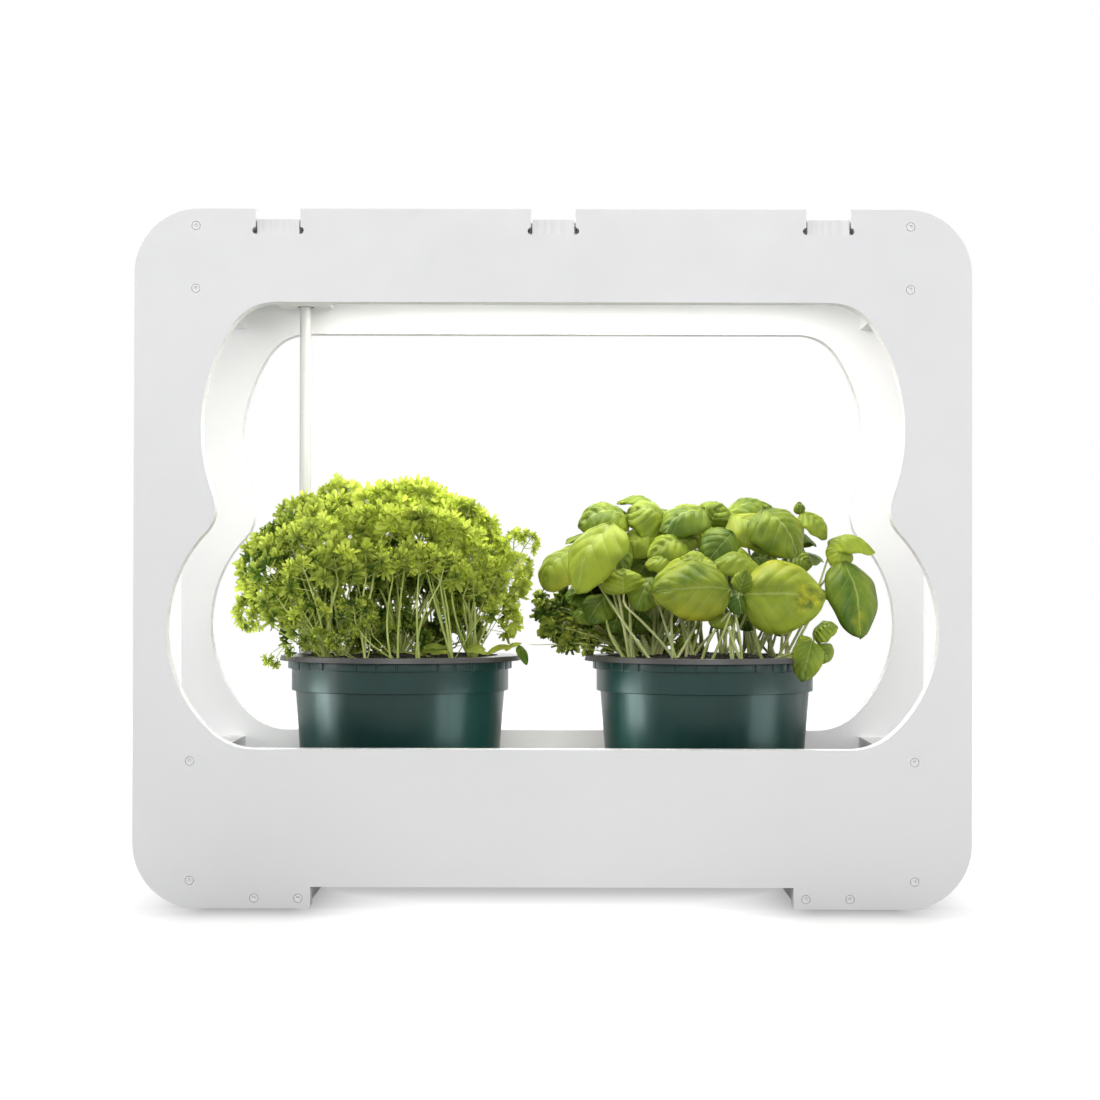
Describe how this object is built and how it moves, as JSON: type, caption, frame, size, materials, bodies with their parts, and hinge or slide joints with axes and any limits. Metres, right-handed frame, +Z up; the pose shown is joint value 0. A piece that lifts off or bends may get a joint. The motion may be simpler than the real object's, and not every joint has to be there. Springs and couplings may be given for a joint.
{
  "type": "countertop herb garden",
  "caption": "Free-standing countertop garden: two boards with an hourglass opening, a lamp under the lid and potted herbs standing in a water trough.",
  "frame": {"origin": "middle of the footprint on the surface that the feet stand on", "axes": "+X to the right seen from the front, +Y from the front board to the rear board, +Z up"},
  "size_m": [0.53, 0.204, 0.4422],
  "materials": {
    "board_white": "satin white sheet",
    "tray_grey": "moulded, satin",
    "screw_white": "white coated, small socket heads",
    "tube_grey": "rigid extruded tube",
    "black_plastic": "moulded",
    "lead_sheath": "flexible sheath",
    "gland_rubber": "moulded rubber",
    "box_grey": "moulded, fine texture",
    "circuit_green": "circuit board",
    "lamp_aluminium": "extruded, satin",
    "lamp_cap_white": "moulded",
    "led_board_white": "white coated board",
    "led_yellow": "phosphor under clear resin",
    "diffuser_opal": "opal sheet",
    "pot_green": "satin dark blue-green",
    "insert_grey": "satin mid grey",
    "soil": "loose potting soil with bark and fibre",
    "parsley_stem": "fresh pale stems",
    "parsley_leaf": "curly leaves, satin",
    "basil_stem": "fresh pale stems",
    "basil_leaf": "cupped leaves, glossy"
  },
  "bodies": {
    "garden_frame": {"front_panel": "board_white", "rear_panel": "board_white", "left_upper_spacer": "board_white", "right_upper_spacer": "board_white", "left_end_wall": "board_white", "right_end_wall": "board_white", "left_foot_bar": "board_white", "right_foot_bar": "board_white", "trough_floor": "board_white", "water_tray": "tray_grey", "front_upper_screws": "screw_white", "front_lower_screws": "screw_white", "front_foot_screws": "screw_white", "rear_upper_screws": "screw_white", "rear_lower_screws": "screw_white", "rear_foot_screws": "screw_white", "conduit_tube": "tube_grey", "supply_plug": "black_plastic", "supply_lead": "lead_sheath", "cord_gland": "gland_rubber"},
    "lid": {"top_lid": "board_white", "lamp_screws": "screw_white", "box_screws": "screw_white", "junction_box": "box_grey", "conduit_bush": "gland_rubber", "supply_socket": "black_plastic", "driver_board": "circuit_green", "lamp_housing": "lamp_aluminium", "lamp_left_cap": "lamp_cap_white", "lamp_right_cap": "lamp_cap_white", "led_board": "led_board_white", "led_chips": "led_yellow", "lamp_diffuser": "diffuser_opal", "lamp_wires": "lead_sheath"},
    "left_outer_pot": {"left_pot": "pot_green"},
    "left_planting": {"left_pot_insert": "insert_grey", "left_soil": "soil", "parsley_stems": "parsley_stem", "parsley_leaves": "parsley_leaf"},
    "right_outer_pot": {"right_pot": "pot_green"},
    "right_planting": {"right_pot_insert": "insert_grey", "right_soil": "soil", "basil_stems": "basil_stem", "basil_leaves": "basil_leaf"}
  },
  "joints": [
    {"name": "lid_lift", "type": "slide", "parent": "garden_frame", "child": "lid", "axis": [0, 0, 1], "range_m": [0, 0.03]},
    {"name": "left_pot_lift", "type": "slide", "parent": "garden_frame", "child": "left_outer_pot", "axis": [0, 0, 1], "range_m": [0, 0.08]},
    {"name": "left_insert_lift", "type": "slide", "parent": "left_outer_pot", "child": "left_planting", "axis": [0, 0, 1], "range_m": [0, 0.035]},
    {"name": "right_pot_lift", "type": "slide", "parent": "garden_frame", "child": "right_outer_pot", "axis": [0, 0, 1], "range_m": [0, 0.08]},
    {"name": "right_insert_lift", "type": "slide", "parent": "right_outer_pot", "child": "right_planting", "axis": [0, 0, 1], "range_m": [0, 0.035]}
  ]
}
